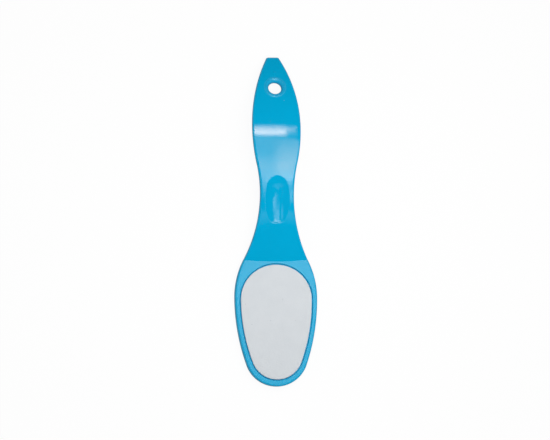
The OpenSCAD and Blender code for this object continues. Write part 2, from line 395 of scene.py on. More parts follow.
def bead_at(rho):
    """Height of the low bead round the hole at a radius: a squared cosine across its width."""
    return bead_h * np.cos(np.clip((rho - bead_r) / bead_hw, -1, 1) * np.pi / 2) ** 2


# The head's rings lie close together at the crease, and the recess's wall turns into its floor
# over four rings, each a share of its depth and how far in it has come.
head_shares = (0, 0.0096, 0.038, 0.084, 0.146, 0.3, 0.6, 0.9, 1)
recess_lip_as = np.linspace(0, np.pi / 2, 6)[1:]
recess_wall = ((0.3, 0.0), (0.9, 0.02), (0.97, 0.08), (1, 0.2))
floor_shares = (0.5, 0.02)
opening_shares = (0.15, 0.3, 0.45, 0.6, 0.75, 0.9, 1)
bead_stations = 12
inner_right = right_p - right_n * edge_r
lip_ends = []
for face_z, rim, out in ((front_z, front_rim_z, 1), (back_z, back_rim_z, -1)):
    # The head: rings from the edge in to the recess, over its lip, down its wall and across it.
    crease_x = across * inner_right[crease_i, 0]
    crease_line = np.stack([crease_x, crease_y - pull_at(crease_x, crease_y)], -1)
    outer_left = inner_right[crease_i - 1:0:-1] * to_left
    outer_loop = np.concatenate([inner_right[:crease_i], crease_line, outer_left])
    angle = np.arctan2(outer_loop[:, 0], recess_y - outer_loop[:, 1])
    lip_loop = recess_loop(-recess_lip, angle)
    rings = []
    for t in head_shares:
        q = outer_loop * (1 - t) + lip_loop * t
        rings.append(np.column_stack([q, face_z(q[:, 0], q[:, 1])]))
    for a in recess_lip_as:
        q = recess_loop(-recess_lip * (1 - np.sin(a)), angle)
        rings.append(np.column_stack([q, np.full(len(q), rim - out * recess_lip * (1 - np.cos(a)))]))
    for depth_share, inset in recess_wall:
        q = recess_loop(inset, angle)
        rings.append(np.column_stack([q, np.full(len(q), rim - out * recess_d * depth_share)]))
    rings += [shrunk(rings[-1], share) for share in floor_shares]
    patch(handle_store, rings, closed=True)
    total = sum(len(points) for points in handle_store["points"])
    cap(handle_store, total - len(outer_loop), len(outer_loop), (0, recess_y, rim - out * recess_d))

    # The arched part: a grid, left open round the hang hole.
    grid_x = inner_right[crease_i:, :1] * across
    grid_y = inner_right[crease_i:, 1:] - pull_at(grid_x, inner_right[crease_i:, 1:])
    grid = np.stack([grid_x, grid_y, face_z(grid_x, grid_y)], -1)
    near = np.where(np.abs(inner_right[crease_i:, 1] - hole_y) < hole_window)[0]
    j0, j1 = near[0], near[-1]
    i0, i1 = side_columns, columns - side_columns
    skip = np.zeros((len(grid) - 1, columns), bool)
    skip[j0:j1, i0:i1] = True
    patch(handle_store, grid, skip=skip)

    # Rings from that opening in over the bead to the hole's rounded lip, and over it.
    border = np.concatenate([grid[j0, i0:i1], grid[j0:j1, i1], grid[j1, i1:i0:-1], grid[j1:j0:-1, i0]])
    u, v = border[:, 0], (border - hole_centre) @ hole_up
    theta = np.arctan2(v, u)
    far = np.hypot(u, v)
    rings = [border]
    bead_end = bead_r + bead_hw
    radii = [far * (1 - t) + bead_end * t for t in opening_shares]
    bead_radii = np.linspace(bead_end, hole_r + hole_lip_r, bead_stations)
    radii += [np.full(len(far), rho) for rho in bead_radii[1:]]
    for rho in radii:
        w = on_face(rho * np.cos(theta), rho * np.sin(theta), face_z, out)
        rings.append(hole_point(rho * np.cos(theta), rho * np.sin(theta), w + out * bead_at(rho)))
    for a in edge_as[1:]:
        rho = hole_r + hole_lip_r * (1 - np.sin(a))
        drop = out * (hole_lip_r * (1 - np.cos(a)) - bead_at(rho))
        rings.append(hole_point(rho * np.cos(theta), rho * np.sin(theta), w - drop))
    patch(handle_store, rings, closed=True)
    lip_ends.append(rings[-1])

bore_shares = np.linspace(0, 1, 7)
patch(handle_store, [lip_ends[0] * (1 - t) + lip_ends[1] * t for t in bore_shares], closed=True)
handle = build("handle_moulding", handle_store)

# The mould is polished along the neck and grip and left satin on the head, up to the crease. An
# attribute carries this on the mesh: 1 on the head, falling to 0 over the crease's own softness.
# The bead round the hang hole was cut into the mould by itself, and is nearly as satin.
bead_satin = 0.85
at = np.empty(len(handle.data.vertices) * 3)
handle.data.vertices.foreach_get("co", at)
at = at.reshape(-1, 3) * 1000 + [0, tip_y / 2, 0]
satin = np.clip((crease_y - pull_at(at[:, 0], crease_y) - at[:, 1]) / crease_soft * 0.5 + 0.5, 0, 1)
hole_rho = np.hypot(at[:, 0], (at - hole_centre) @ hole_up)
satin = np.maximum(satin, bead_satin * np.clip((bead_r - hole_rho) / bead_hw + 2, 0, 1))
handle.data.attributes.new("satin", "FLOAT", "POINT").data.foreach_set("value", satin)


def add(nodes, kind, **values):
    """A node of a kind, with its input sockets or its properties set by name."""
    node = nodes.new(kind)
    for key, value in values.items():
        if key in node.inputs:
            node.inputs[key].default_value = value
        else:
            setattr(node, key, value)
    return node


def new_group(name, inputs, outputs):
    """An empty shader node group with named sockets, and its input and output nodes."""
    group = bpy.data.node_groups.new(name, "ShaderNodeTree")
    for label, kind in inputs:
        group.interface.new_socket(label, in_out="INPUT", socket_type="NodeSocket" + kind)
    for label, kind in outputs:
        group.interface.new_socket(label, in_out="OUTPUT", socket_type="NodeSocket" + kind)
    return group, group.nodes.new("NodeGroupInput"), group.nodes.new("NodeGroupOutput")


# Cloud: a noise on the piece's own coordinates, which mixes two colours and also comes out alone.
cloud_group, given, result = new_group(
    "cloud",
    (("Scale", "Float"), ("Detail", "Float"), ("Dark", "Color"), ("Light", "Color")),
    (("Color", "Color"), ("Value", "Float")),
)
nodes, links = cloud_group.nodes, cloud_group.links
place = add(nodes, "ShaderNodeTexCoord")
noise = add(nodes, "ShaderNodeTexNoise", Roughness=0.62)
blend = add(nodes, "ShaderNodeMix", data_type="RGBA")
links.new(place.outputs["Object"], noise.inputs["Vector"])
links.new(given.outputs["Scale"], noise.inputs["Scale"])
links.new(given.outputs["Detail"], noise.inputs["Detail"])
links.new(noise.outputs["Fac"], blend.inputs["Factor"])
links.new(given.outputs["Dark"], blend.inputs["A"])
links.new(given.outputs["Light"], blend.inputs["B"])
links.new(blend.outputs["Result"], result.inputs["Color"])
links.new(noise.outputs["Fac"], result.inputs["Value"])

# Specks: small round spots, one in some of the cells of a random grid, as a mask from 0 to 1.
speck_group, given, result = new_group(
    "specks",
    (("Scale", "Float"), ("Size", "Float"), ("Share", "Float")),
    (("Mask", "Float"),),
)
nodes, links = speck_group.nodes, speck_group.links
place = add(nodes, "ShaderNodeTexCoord")
spots = add(nodes, "ShaderNodeTexVoronoi")
pick = add(nodes, "ShaderNodeSeparateColor")
picked = add(nodes, "ShaderNodeMath", operation="LESS_THAN")
inside = add(nodes, "ShaderNodeMath", operation="LESS_THAN")
both = add(nodes, "ShaderNodeMath", operation="MULTIPLY")
links.new(place.outputs["Object"], spots.inputs["Vector"])
links.new(given.outputs["Scale"], spots.inputs["Scale"])
links.new(spots.outputs["Color"], pick.inputs["Color"])
links.new(pick.outputs["Red"], picked.inputs[0])
links.new(given.outputs["Share"], picked.inputs[1])
links.new(spots.outputs["Distance"], inside.inputs[0])
links.new(given.outputs["Size"], inside.inputs[1])
links.new(picked.outputs[0], both.inputs[0])
links.new(inside.outputs[0], both.inputs[1])
links.new(both.outputs[0], result.inputs["Mask"])


def use_group(nodes, group, **values):
    """A group placed in a material, with its inputs set by name."""
    node = nodes.new("ShaderNodeGroup")
    node.node_tree = group
    for key, value in values.items():
        node.inputs[key].default_value = value
    return node


def finish_of(name, roughness):
    """A new material, and its nodes, links and shader, with one plain roughness."""
    finish = bpy.data.materials.new(name)
    finish.use_nodes = True
    shader = finish.node_tree.nodes["Principled BSDF"]
    shader.inputs["Roughness"].default_value = roughness
    return finish, finish.node_tree.nodes, finish.node_tree.links, shader


def ramp(tree, value, places, levels=(0, 1)):
    """A smooth step of a value: over the pair of places it goes from one level to the other. A
    place or a level is a number, or another value that it follows."""
    step = add(tree.nodes, "ShaderNodeMapRange", interpolation_type="SMOOTHSTEP")
    tree.links.new(value, step.inputs["Value"])
    for label, setting in zip(("From Min", "From Max", "To Min", "To Max"), (*places, *levels)):
        if isinstance(setting, (int, float)):
            step.inputs[label].default_value = setting
        else:
            tree.links.new(setting, step.inputs[label])
    return step.outputs["Result"]


# The plastic is coloured through its mass. Its skin has the mould's fine waves, hairlines from
# handling, which run mostly along the handle, and a little dust.
plastic, nodes, links, shader = finish_of("blue_gloss_plastic", 0.05)
shader.inputs["IOR"].default_value = 1.49
flow = use_group(
    nodes, cloud_group, Scale=38.0, Detail=3.0, Dark=(0.0, 0.372, 0.645, 1), Light=(0.0, 0.41, 0.70, 1),
)
dust = use_group(nodes, speck_group, Scale=160.0, Size=0.055, Share=0.035)
dusty = add(nodes, "ShaderNodeMix", data_type="RGBA")
dusty.inputs["B"].default_value = (0.16, 0.5, 0.7, 1)
links.new(dust.outputs["Mask"], dusty.inputs["Factor"])
links.new(flow.outputs["Color"], dusty.inputs["A"])
links.new(dusty.outputs["Result"], shader.inputs["Base Color"])
hairs_per_m = (2600, 60, 300)
hair_turn = 0.12
place = add(nodes, "ShaderNodeTexCoord")
stretch = add(nodes, "ShaderNodeMapping", Rotation=(0, 0, hair_turn), Scale=hairs_per_m)
hairs = add(nodes, "ShaderNodeTexNoise", Scale=1.0, Detail=2.0)
links.new(place.outputs["Object"], stretch.inputs["Vector"])
links.new(stretch.outputs["Vector"], hairs.inputs["Vector"])
gloss = ramp(plastic.node_tree, hairs.outputs["Fac"], (0.45, 0.8), (0.04, 0.13))
satin_mask = add(nodes, "ShaderNodeAttribute", attribute_name="satin")
skin = add(nodes, "ShaderNodeMix")
skin.inputs["B"].default_value = 0.34
links.new(satin_mask.outputs["Fac"], skin.inputs["Factor"])
links.new(gloss, skin.inputs["A"])
links.new(skin.outputs["Result"], shader.inputs["Roughness"])
wave = use_group(nodes, cloud_group, Scale=270.0, Detail=2.0)
bump = add(nodes, "ShaderNodeBump", Strength=1.0, Distance=0.00002)
links.new(wave.outputs["Value"], bump.inputs["Height"])
links.new(bump.outputs["Normal"], shader.inputs["Normal"])
handle.data.materials.append(plastic)
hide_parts("handle")
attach(handle, "root")

# Tape films: a thin double-sided film under each pad, die-cut with it, which bonds it to the
# floor of its recess. Both are clear-white and show only as a line at the foot of the gap.
pad_gap = 1.05
tape_inset = 0.05
ragged_by = 0.012
ragged_waves = (23, 41, 67, 97, 131)
pad_stations = 420
pad_angle = np.linspace(-np.pi, np.pi, pad_stations + 1)[:-1]
outwards = np.stack([np.sin(pad_angle), -np.cos(pad_angle)], -1)
rng = np.random.default_rng(7)
ragged = sum(
    rng.uniform(0.3, 1) * np.sin(k * pad_angle + rng.uniform(0, 6.28)) for k in ragged_waves
)


def layer(name, z_from, z_to, gap, bulge):
    """A flat die-cut layer between two heights. Its cut edge swells by bulge at mid height, as
    about half an ellipse, and wanders by the sum of five sine waves round the plan."""
    edge_profile = ((0, 0), (0.06, 0.35), (0.25, 0.85), (0.5, 1), (0.75, 0.85), (0.94, 0.35), (1, 0))
    rings = []
    for share, swell in edge_profile:
        q = recess_loop(gap - bulge * swell, pad_angle) + ragged_by * ragged[:, None] * outwards
        rings.append(np.column_stack([q, np.full(len(q), z_from + (z_to - z_from) * share)]))
    inner_shares = (0.02, 0.35, 0.7, 0.98)
    rings = ([shrunk(rings[0], share) for share in inner_shares] + rings
             + [shrunk(rings[-1], share) for share in inner_shares[::-1]])
    store = {"points": [], "faces": []}
    patch(store, rings, closed=True)
    count = len(pad_angle)
    cap(store, 0, count, (0, recess_y, z_from))
    cap(store, (len(rings) - 1) * count, count, (0, recess_y, z_to))
    return build(name, store)


def layer_heights(node):
    """The lowest and highest z of a CAD node, in millimetres."""
    low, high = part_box(node)
    return low[2] * 1000, high[2] * 1000


tape_finish, nodes, links, shader = finish_of("tape_film", 0.45)
haze = use_group(
    nodes, cloud_group, Scale=500.0, Detail=2.0, Dark=(0.72, 0.72, 0.66, 1), Light=(0.84, 0.84, 0.79, 1)
)
links.new(haze.outputs["Color"], shader.inputs["Base Color"])
for side in ("front", "back"):
    tape = layer(side + "_tape_film", *layer_heights(side + "_tape"), pad_gap + tape_inset, 0.0)
    tape.data.materials.append(tape_finish)
    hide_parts(side + "_tape")
    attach(tape, "root")

# Foam cushions: closed-cell foam between each tape and sheet, which lets the abrasive follow the
# foot. The die squeezes it, so its cut edge swells a little between the two.
foam_inset = 0.06
foam_bulge = 0.12

# Cells: the distance from a point to the nearest of many scattered ones, as a foam's cells or a
# close grit's grains.
cells_group, given, result = new_group("cells", (("Scale", "Float"),), (("Distance", "Float"),))
nodes, links = cells_group.nodes, cells_group.links
place = add(nodes, "ShaderNodeTexCoord")
scattered = add(nodes, "ShaderNodeTexVoronoi")
links.new(place.outputs["Object"], scattered.inputs["Vector"])
links.new(given.outputs["Scale"], scattered.inputs["Scale"])
links.new(scattered.outputs["Distance"], result.inputs["Distance"])

foam_finish, nodes, links, shader = finish_of("closed_cell_foam", 0.9)
cells = use_group(nodes, cells_group, Scale=4200.0)
# Painted shade: the colour is darker at each cell's middle, where the bump sinks it into a hollow.
foam_hollow_shade = add(nodes, "ShaderNodeMix", data_type="RGBA")
foam_hollow_shade.inputs["A"].default_value = (0.62, 0.64, 0.66, 1)
foam_hollow_shade.inputs["B"].default_value = (0.8, 0.81, 0.82, 1)
links.new(cells.outputs["Distance"], foam_hollow_shade.inputs["Factor"])
links.new(foam_hollow_shade.outputs["Result"], shader.inputs["Base Color"])
bump = add(nodes, "ShaderNodeBump", Strength=0.8, Distance=0.00008)
links.new(cells.outputs["Distance"], bump.inputs["Height"])
links.new(bump.outputs["Normal"], shader.inputs["Normal"])
for side in ("front", "back"):
    foam = layer(side + "_foam_cushion", *layer_heights(side + "_foam"), pad_gap + foam_inset, foam_bulge)
    foam.data.materials.append(foam_finish)
    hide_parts(side + "_foam")
    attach(foam, "root")

# Fine abrasive sheet: the pale oval of the front pad, a close even grit under an anti-clog coat.
# It is flat in the middle, and its face rolls down to a cut edge that frays a little.
sheet_t = 0.8
roll_w = 5.0
roll_d = 0.3
cut_w = 0.6
cut_d = 0.08
edge_wander = 0.03
lump_h = 0.018
lump_pitch = 0.42
swell_h = 0.01
swell_pitch = 1.7
fine_squares = 220


def disc_grid(squares):
    """A square grid bent to fill the unit disc: each side becomes a quarter of its rim."""
    u, v = np.meshgrid(*[np.linspace(-1, 1, squares + 1)] * 2, indexing="ij")
    return u * np.sqrt(1 - v * v / 2), v * np.sqrt(1 - u * u / 2)


def smooth_noise(x, y, pitch, seed):
    """Random heights from -1 to 1 on a square grid of a pitch, blended smoothly between. The grid
    has n steps each way and then repeats."""
    n = 256
    heights = np.random.default_rng(seed).uniform(-1, 1, (n, n))
    fx, fy = x / pitch + n / 4, y / pitch + n / 4
    ix, iy = np.floor(fx).astype(int), np.floor(fy).astype(int)
    tx, ty = fx - ix, fy - iy
    tx, ty = tx * tx * (3 - 2 * tx), ty * ty * (3 - 2 * ty)
    low = heights[ix % n, iy % n] * (1 - tx) + heights[(ix + 1) % n, iy % n] * tx
    high = heights[ix % n, (iy + 1) % n] * (1 - tx) + heights[(ix + 1) % n, (iy + 1) % n] * tx
    return low * (1 - ty) + high * ty


def pad_points(squares):
    """Plan points of a sheet, and how far in from its cut edge each lies, in millimetres."""
    dx, dy = disc_grid(squares)
    share, turn = np.hypot(dx, dy), np.arctan2(dx, -dy)
    edge = recess_loop(pad_gap, turn.ravel()).reshape(*turn.shape, 2) - [0, recess_y]
    wander = edge_wander * np.interp(turn, pad_angle, ragged)
    edge += wander[..., None] * np.stack([np.sin(turn), -np.cos(turn)], -1)
    inward = (1 - share) * np.hypot(edge[..., 0], edge[..., 1])
    return edge[..., 0] * share, edge[..., 1] * share + recess_y, inward


def sheet(name, base_z, out, squares, relief):
    """An abrasive sheet on a base height: its face is the sheet's thickness, less a parabola
    over the roll's width and another over the cut's, plus the relief of its grit."""
    x, y, inwards = pad_points(squares)
    roll = roll_d * np.clip(1 - inwards / roll_w, 0, 1) ** 2
    cut = cut_d * np.clip(1 - inwards / cut_w, 0, 1) ** 2
    top = sheet_t - roll - cut + relief(x, y) * np.clip(inwards / cut_w, 0.3, 1)
    face = np.stack([x, y, base_z + out * top], -1)
    store = {"points": [], "faces": []}
    patch(store, face)
    loop = np.concatenate([face[:-1, 0], face[-1, :-1], face[:0:-1, -1], face[0, :0:-1]])
    low = np.column_stack([loop[:, :2], np.full(len(loop), base_z)])
    rings = [loop, (loop + low) / 2, low] + [shrunk(low, share) for share in (0.97, 0.7, 0.35, 0.02)]
    first = sum(len(points) for points in store["points"])
    patch(store, rings, closed=True)
    cap(store, first + (len(rings) - 1) * len(loop), len(loop), (0, recess_y, base_z))
    return build(name, store)


def fine_relief(x, y):
    """Two smooth noises, one at the size of the coat's lumps and one of its slow unevenness."""
    return lump_h * smooth_noise(x, y, lump_pitch, 3) + swell_h * smooth_noise(x, y, swell_pitch, 4)


fine_finish, nodes, links, shader = finish_of("pale_fine_grit", 0.8)
shader.inputs["Specular IOR Level"].default_value = 0.25
coat = use_group(
    nodes, cloud_group, Scale=90.0, Detail=6.0, Dark=(0.62, 0.658, 0.69, 1), Light=(0.69, 0.724, 0.753, 1),
)
grit_dust = use_group(nodes, speck_group, Scale=420.0, Size=0.16, Share=0.03)
darker = add(nodes, "ShaderNodeMix", data_type="RGBA")
darker.inputs["B"].default_value = (0.52, 0.56, 0.6, 1)
links.new(grit_dust.outputs["Mask"], darker.inputs["Factor"])
links.new(coat.outputs["Color"], darker.inputs["A"])
links.new(darker.outputs["Result"], shader.inputs["Base Color"])
grains = use_group(nodes, cells_group, Scale=6500.0)
bump = add(nodes, "ShaderNodeBump", Strength=0.5, Distance=0.00006)
links.new(grains.outputs["Distance"], bump.inputs["Height"])
links.new(bump.outputs["Normal"], shader.inputs["Normal"])
fine_base = layer_heights("front_fine_sheet")[0]
fine = sheet("fine_abrasive_sheet", fine_base, 1, fine_squares, fine_relief)
fine.data.materials.append(fine_finish)
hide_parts("front_fine_sheet")
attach(fine, "root")

# Coarse abrasive sheet: the back pad's face, a resin-coated backing that carries separate sharp
# grains. The photo doesn't show it, so its grit is the coarser kind that such files pair with.
grain_h = 0.16
ripple_h = 0.03
ripple_pitch = 0.6
coarse_squares = 120


def coarse_relief(x, y):
    """The resin's face: it lies lower than the grains' tips, and a smooth noise ripples it."""
    return -grain_h + ripple_h * smooth_noise(x, y, ripple_pitch, 5)


coarse_finish, nodes, links, shader = finish_of("resin_bond", 0.6)
resin = use_group(
    nodes, cloud_group, Scale=300.0, Detail=5.0, Dark=(0.27, 0.28, 0.30, 1), Light=(0.42, 0.43, 0.45, 1)
)
links.new(resin.outputs["Color"], shader.inputs["Base Color"])
coarse_base = layer_heights("back_coarse_sheet")[1]
coarse = sheet("coarse_abrasive_sheet", coarse_base, -1, coarse_squares, coarse_relief)
coarse.data.materials.append(coarse_finish)
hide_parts("back_coarse_sheet")
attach(coarse, "root")

# Grit: each grain is an irregular eight-sided crystal, turned at random and sunk into the resin.
# They sit on a jittered grid over the sheet's face, and stop short of its cut edge.
grain_pitch = 0.46
grain_jitter = 0.45
grain_sink = 0.05
grain_r = (0.13, 0.23)
grain_uneven = (0.6, 1.25)
bare_edge = 2 * edge_wander + 0.15
grain_rng = np.random.default_rng(11)
gx, gy = np.meshgrid(
    np.arange(-head_hw, head_hw, grain_pitch),
    np.arange(0, crease_y, grain_pitch),
    indexing="ij",
)
gx = (gx + grain_rng.uniform(-grain_jitter, grain_jitter, gx.shape) * grain_pitch).ravel()
gy = (gy + grain_rng.uniform(-grain_jitter, grain_jitter, gy.shape) * grain_pitch).ravel()
turn = np.arctan2(gx, recess_y - gy)
reach = np.hypot(gx, gy - recess_y)
inwards = np.hypot(*(recess_loop(pad_gap, turn) - [0, recess_y]).T) - reach
on_sheet = inwards > bare_edge
gx, gy, inwards = gx[on_sheet], gy[on_sheet], inwards[on_sheet]
count = len(gx)
roll = roll_d * np.clip(1 - inwards / roll_w, 0, 1) ** 2
face = coarse_base - (sheet_t - roll - grain_h)
radius = grain_rng.uniform(*grain_r, (count, 1, 1))
corners = np.array([(1, 0, 0), (0, 1, 0), (-1, 0, 0), (0, -1, 0), (0, 0, 1), (0, 0, -1)], float)
points = corners * radius * grain_rng.uniform(*grain_uneven, (count, 6, 1))
quaternion = grain_rng.normal(size=(count, 4))
quaternion /= np.linalg.norm(quaternion, axis=1)[:, None]
w, qx, qy, qz = quaternion.T
rotation = np.array([
    [1 - 2 * (qy * qy + qz * qz), 2 * (qx * qy - w * qz), 2 * (qx * qz + w * qy)],
    [2 * (qx * qy + w * qz), 1 - 2 * (qx * qx + qz * qz), 2 * (qy * qz - w * qx)],
    [2 * (qx * qz - w * qy), 2 * (qy * qz + w * qx), 1 - 2 * (qx * qx + qy * qy)],
])
points = np.einsum("abn,nkb->nka", rotation, points)
lowest = points[..., 2].min(1)
tips = face - grain_h + grain_sink * grain_rng.uniform(0, 1, count)
points += np.stack([gx, gy, tips - lowest], -1)[:, None]
octahedron = [(0, 1, 4), (1, 2, 4), (2, 3, 4), (3, 0, 4), (1, 0, 5), (2, 1, 5), (3, 2, 5), (0, 3, 5)]
triangles = np.array(octahedron) + 6 * np.arange(count)[:, None, None]
grit_mesh = bpy.data.meshes.new("coarse_grit")
grit_mesh.from_pydata(
    ((points.reshape(-1, 3) - [0, tip_y / 2, 0]) * 0.001).tolist(), [], triangles.reshape(-1, 3).tolist()
)
grit = bpy.data.objects.new("coarse_grit", grit_mesh)
bpy.context.scene.collection.objects.link(grit)
grit_finish, nodes, links, shader = finish_of("grey_crystal_grit", 0.35)
crystal = use_group(
    nodes, cloud_group, Scale=900.0, Detail=1.0, Dark=(0.34, 0.35, 0.37, 1), Light=(0.72, 0.73, 0.75, 1)
)
links.new(crystal.outputs["Color"], shader.inputs["Base Color"])
grit_mesh.materials.append(grit_finish)
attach(grit, "root")

# Floor: a plain white sheet. The camera sees it nearly white by itself, with the object's soft
# shadow kept. It throws light back up at the walls of the handle. In their gloss it shows mostly
# as a dark grey, a painted shade for its shadow beside the handle, so that the edges keep their colour.
floor_drop = 0.0002
bpy.ops.mesh.primitive_plane_add(size=6, location=(0, 0, -floor_drop))
floor = bpy.context.object
floor.name = "floor"
floor_finish, nodes, links, shader = finish_of("white_floor", 0.9)
shader.inputs["Base Color"].default_value = (0.97, 0.97, 0.97, 1)
shader.inputs["Specular IOR Level"].default_value = 0.1
white = add(nodes, "ShaderNodeEmission", Color=(1, 1, 1, 1), Strength=1.0)
bounce = add(nodes, "ShaderNodeBsdfDiffuse", Color=(0.7, 0.7, 0.7, 1))
# Painted shade: in the gloss the floor is mostly this dark grey, for its shadow beside the handle, which
# darkens the handle's edges.
painted_floor_shade = add(nodes, "ShaderNodeBsdfDiffuse", Color=(0.2, 0.2, 0.2, 1))
rays = add(nodes, "ShaderNodeLightPath")
seen = add(nodes, "ShaderNodeMixShader", Fac=0.94)
shaded_floor_in_gloss = add(nodes, "ShaderNodeMixShader", Fac=0.15)
by_gloss = add(nodes, "ShaderNodeMixShader")
by_eye = add(nodes, "ShaderNodeMixShader")
eye = add(nodes, "ShaderNodeMath", operation="MAXIMUM")
links.new(shader.outputs[0], seen.inputs[1])
links.new(white.outputs[0], seen.inputs[2])
links.new(painted_floor_shade.outputs[0], shaded_floor_in_gloss.inputs[1])
links.new(white.outputs[0], shaded_floor_in_gloss.inputs[2])
links.new(rays.outputs["Is Glossy Ray"], by_gloss.inputs["Fac"])
links.new(bounce.outputs[0], by_gloss.inputs[1])
links.new(shaded_floor_in_gloss.outputs[0], by_gloss.inputs[2])
links.new(rays.outputs["Is Camera Ray"], eye.inputs[0])
links.new(rays.outputs["Is Transmission Ray"], eye.inputs[1])
links.new(eye.outputs[0], by_eye.inputs["Fac"])
links.new(by_gloss.outputs[0], by_eye.inputs[1])
links.new(seen.outputs[0], by_eye.inputs[2])
links.new(by_eye.outputs[0], nodes["Material Output"].inputs["Surface"])
floor.data.materials.append(floor_finish)

# Studio: an even pale room that the camera sees as white. In the gloss it is white at the
# horizon and dark overhead, as a studio is round its soft lights.
world = bpy.data.worlds.new("studio")
bpy.context.scene.world = world
world.use_nodes = True
nodes, links = world.node_tree.nodes, world.node_tree.links
nodes.clear()
fill = add(nodes, "ShaderNodeBackground", Color=(1, 1, 1, 1), Strength=0.5)
backdrop = add(nodes, "ShaderNodeBackground", Color=(1, 1, 1, 1), Strength=1.0)
horizon = add(nodes, "ShaderNodeBackground", Color=(1, 1, 1, 1))
place = add(nodes, "ShaderNodeTexCoord")
direction = add(nodes, "ShaderNodeSeparateXYZ")
links.new(place.outputs["Generated"], direction.inputs[0])
fade = ramp(world.node_tree, direction.outputs["Z"], (0.1, 0.45), (0.35, 0.02))
links.new(fade, horizon.inputs["Strength"])
rays = add(nodes, "ShaderNodeLightPath")
glossy_mix = add(nodes, "ShaderNodeMixShader")
camera_mix = add(nodes, "ShaderNodeMixShader")
world_output = add(nodes, "ShaderNodeOutputWorld")
links.new(rays.outputs["Is Glossy Ray"], glossy_mix.inputs[0])
links.new(fill.outputs[0], glossy_mix.inputs[1])
links.new(horizon.outputs[0], glossy_mix.inputs[2])
links.new(rays.outputs["Is Camera Ray"], camera_mix.inputs[0])
links.new(glossy_mix.outputs[0], camera_mix.inputs[1])
links.new(backdrop.outputs[0], camera_mix.inputs[2])
links.new(camera_mix.outputs[0], world_output.inputs[0])

# Soft light: a round soft box close above the handle. It lights the grip and the head's upper
# half most, and falls off towards both ends.
lamp_data = bpy.data.lights.new("soft_box", "AREA")
lamp_data.shape = "DISK"
lamp_data.size = 0.3
lamp_data.energy = 0.82
lamp = bpy.data.objects.new("soft_box", lamp_data)
lamp.location = (0.03, 0.0, 0.37)
lamp.rotation_euler = (Vector((0, 0, 0)) - lamp.location).to_track_quat("-Z", "Y").to_euler()
lamp.visible_glossy = False
bpy.context.scene.collection.objects.link(lamp)

# Reflected lights: what the gloss shows of that soft box, of a bright warm strip beyond its edge
# and of the weaker glow round them. They light nothing else, and only reflections see them. Each
# is a level rectangle overhead, in metres from the file's middle, with y towards the hole.
reflected_h = 0.55


def follow(tree, share, levels):
    """A value that goes smoothly from one level to the other as a share goes from 0 to 1."""
    return ramp(tree, share, (0, 1), levels)


def joined(tree, operation, first, *others):
    """Values joined one after another by the same sum or product."""
    for other in others:
        node = add(tree.nodes, "ShaderNodeMath", operation=operation)
        tree.links.new(first, node.inputs[0])
        tree.links.new(other, node.inputs[1])
        first = node.outputs[0]
    return first


def window(tree, value, rise, fall, level=1):
    """A level between two soft ends: a smooth step up over one pair of places, times a smooth
    step down over another."""
    return joined(tree, "MULTIPLY", ramp(tree, value, rise, (0, level)), ramp(tree, value, fall, (1, 0)))


def reflected_light(name, x_range, y_range, strength_at, colour=(1, 1, 1)):
    """A level rectangle that glows in reflections only, by a strength worked out from x and y.
    Where colour is a function, it works the tint out from x and y too."""
    (x0, x1), (y0, y1) = x_range, y_range
    mesh = bpy.data.meshes.new(name)
    corners = [(x0, y0, reflected_h), (x0, y1, reflected_h), (x1, y1, reflected_h), (x1, y0, reflected_h)]
    mesh.from_pydata(corners, [], [(0, 1, 2, 3)])
    glowing = bpy.data.objects.new(name, mesh)
    bpy.context.scene.collection.objects.link(glowing)
    for ray in ("camera", "diffuse", "transmission", "volume_scatter", "shadow"):
        setattr(glowing, "visible_" + ray, False)
    finish = bpy.data.materials.new(name)
    finish.use_nodes = True
    tree = finish.node_tree
    tree.nodes.clear()
    glow = add(tree.nodes, "ShaderNodeEmission")
    output = add(tree.nodes, "ShaderNodeOutputMaterial")
    tree.links.new(glow.outputs[0], output.inputs["Surface"])
    mesh.materials.append(finish)
    place = add(tree.nodes, "ShaderNodeTexCoord")
    split = add(tree.nodes, "ShaderNodeSeparateXYZ")
    tree.links.new(place.outputs["Object"], split.inputs[0])
    x, y = split.outputs["X"], split.outputs["Y"]
    tree.links.new(strength_at(tree, x, y), glow.inputs["Strength"])
    if callable(colour):
        tree.links.new(colour(tree, x, y), glow.inputs["Color"])
    else:
        glow.inputs["Color"].default_value = (*colour, 1)


def box_area(tree, x, y):
    """The soft box itself, a product of steps. Its level falls from its middle towards the hole.
    It fades out towards the head, where its left side comes in and a notch is cut from it. Its
    right part is brighter and ends sooner, and its right side comes in towards the hole."""
    to_right = ramp(tree, x, (0.03, 0.11))
    near_level = follow(tree, to_right, (3.9, 5.8))
    far_level = follow(tree, to_right, (1.7, 2.4))
    far_from = follow(tree, to_right, (0.09, 0.16))
    fade_from = follow(tree, to_right, (-0.072, -0.068))
    left_y = (-0.045, -0.03)
    left_from = ramp(tree, y, left_y, (0.008, -0.07))
    left_to = ramp(tree, y, left_y, (0.028, -0.05))
    right_share = ramp(tree, y, (-0.04, -0.025))
    right_y = (0.13, 0.155)
    right_from = joined(
        tree, "ADD", follow(tree, right_share, (-0.005, 0)), ramp(tree, y, right_y, (0.165, 0.133))
    )
    right_to = joined(
        tree, "ADD", follow(tree, right_share, (-0.03, 0)), ramp(tree, y, right_y, (0.2, 0.143))
    )
    notch = joined(
        tree, "MULTIPLY",
        window(tree, x, (0.02, 0.034), (0.118, 0.132)),
        ramp(tree, y, (-0.036, -0.026), (1, 0)),
    )
    return joined(
        tree, "MULTIPLY",
        ramp(tree, y, (0.015, far_from), (near_level, far_level)),
        ramp(tree, y, (fade_from, -0.015)),
        ramp(tree, y, (0.15, 0.178), (1, follow(tree, to_right, (1, 0)))),
        ramp(tree, x, (left_from, left_to)),
        ramp(tree, x, (right_from, right_to), (1, 0)),
        follow(tree, notch, (1, 0)),
    )


